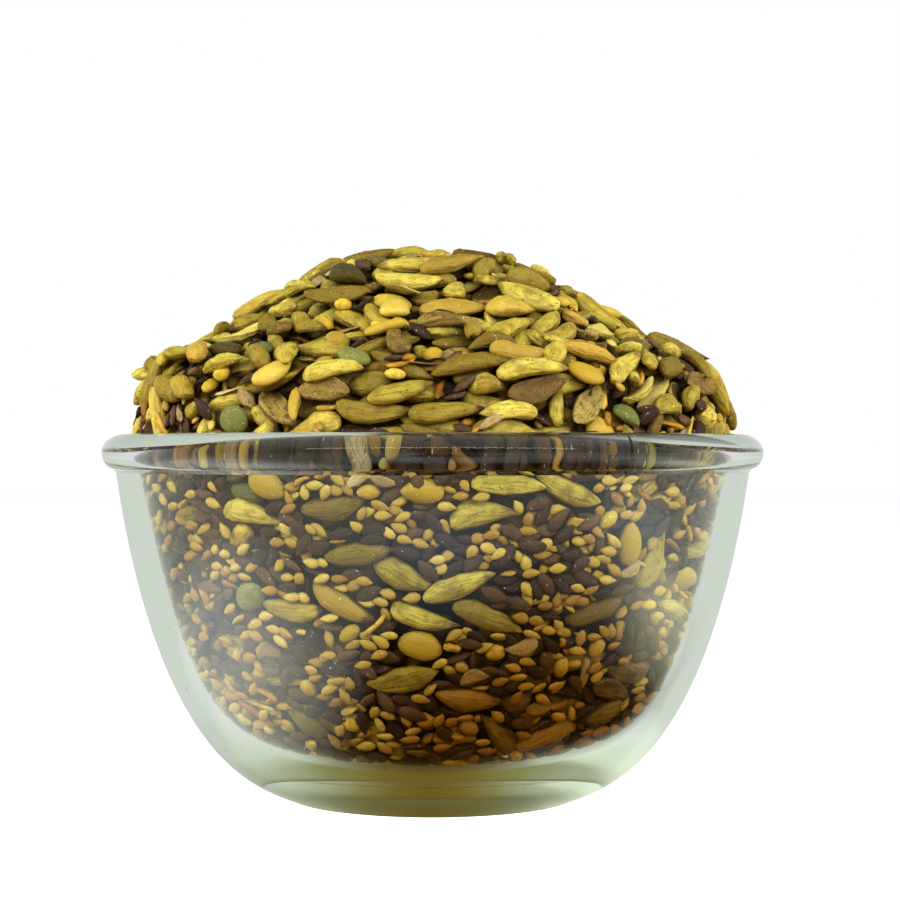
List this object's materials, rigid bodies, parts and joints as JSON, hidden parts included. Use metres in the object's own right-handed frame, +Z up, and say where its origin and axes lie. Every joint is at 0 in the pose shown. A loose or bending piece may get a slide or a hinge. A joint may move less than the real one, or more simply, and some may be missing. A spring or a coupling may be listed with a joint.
{
  "type": "bowl of mukhwas",
  "caption": "Small round clear glass bowl with a rolled rim and a thick base, heaped over the rim with a roasted seed mix of sunflower kernels, sesame and flax.",
  "frame": {"origin": "centre of the bowl's foot, on the surface that it stands on", "axes": "+Z up through the middle of the bowl and the heap; the picture's camera looks along +Y"},
  "size_m": [0.126, 0.126, 0.1056],
  "materials": {
    "clear_glass": "clear pressed glass with a faint green tint, smooth and glossy",
    "roasted_seeds": "dry roasted seeds, olive yellow to gold and dark brown, satin, finely wrinkled"
  },
  "bodies": {
    "root": {"bowl": "clear_glass", "mukhwas": "roasted_seeds"}
  },
  "joints": []
}
